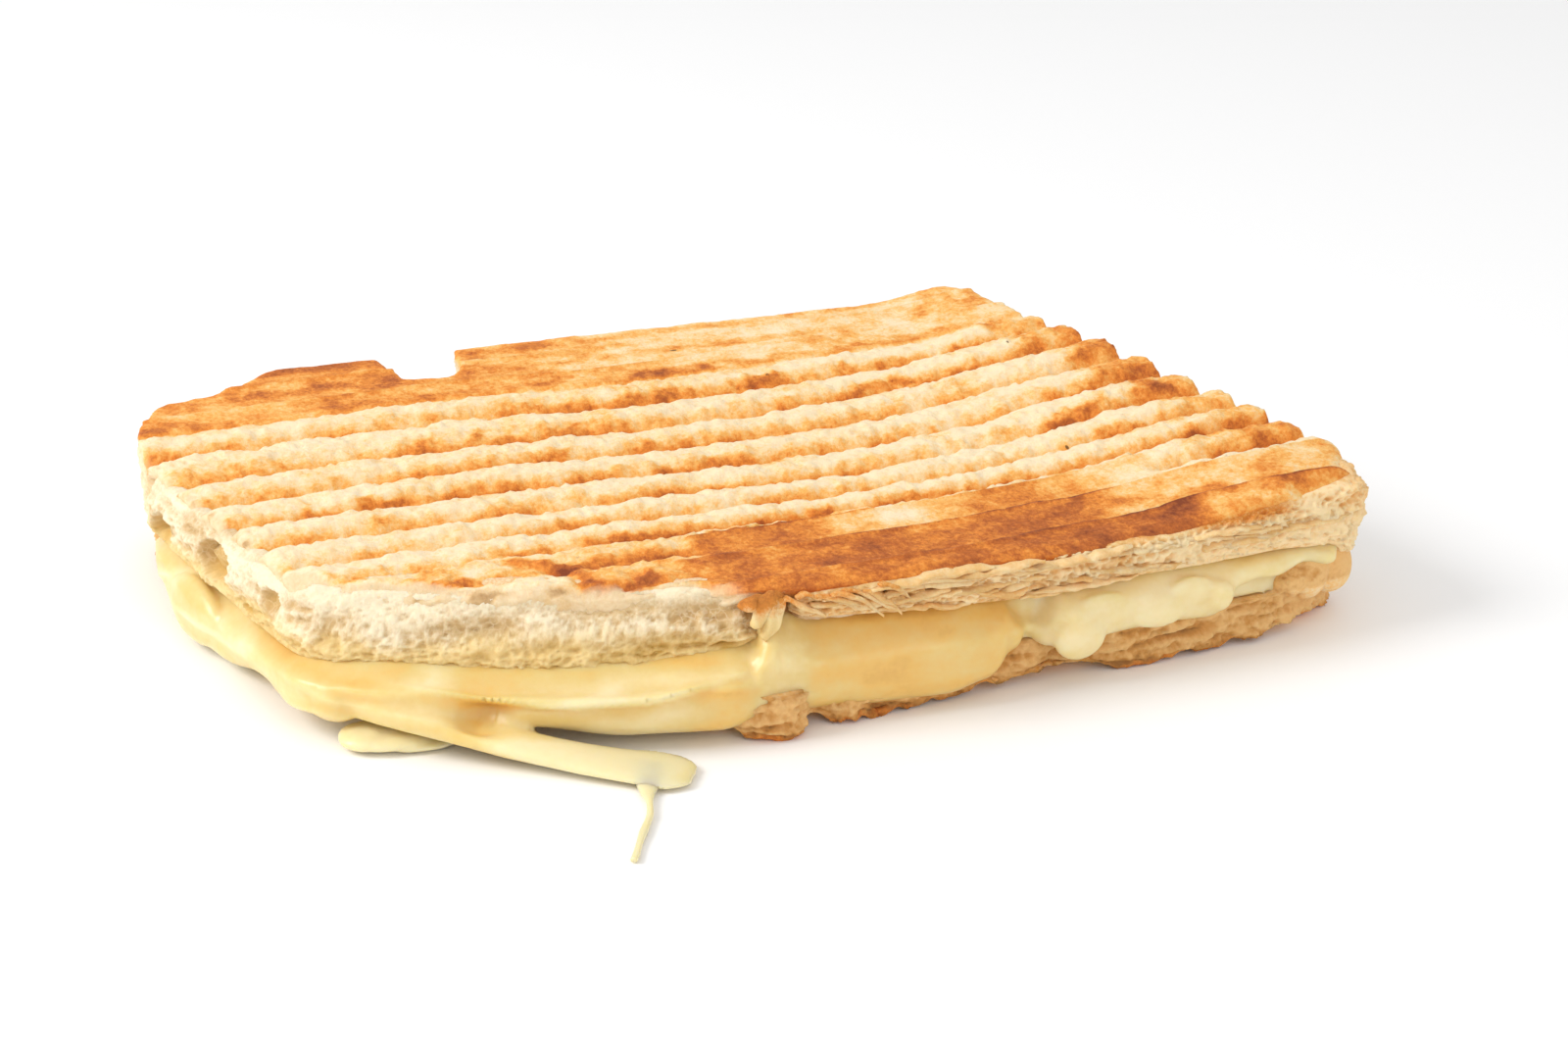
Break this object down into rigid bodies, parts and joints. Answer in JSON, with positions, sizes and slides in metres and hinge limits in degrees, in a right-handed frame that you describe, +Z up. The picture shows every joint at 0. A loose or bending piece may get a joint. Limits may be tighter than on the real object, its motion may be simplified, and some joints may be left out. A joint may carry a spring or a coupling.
{
  "type": "grilled cheese sandwich",
  "caption": "Pressed and toasted cheese sandwich: ridged top slice, molten cheese running out at the front and left, and a flat ridged underside to rest on.",
  "frame": {"origin": "middle of the underside, on the ground", "axes": "+Z up; the long front side, where the cheese runs out, faces -Y; the ridges of the press run along X"},
  "size_m": [0.1555, 0.1376, 0.0228],
  "materials": {
    "toasted_bread": "dry toasted crust and open crumb",
    "toasted_crumb": "dry open crumb with a browned underside",
    "molten_cheese": "smooth and slightly oily"
  },
  "bodies": {
    "root": {"top_slice": "toasted_bread", "bottom_slice": "toasted_crumb", "cheese": "molten_cheese", "cheese_flap": "molten_cheese"}
  },
  "joints": []
}
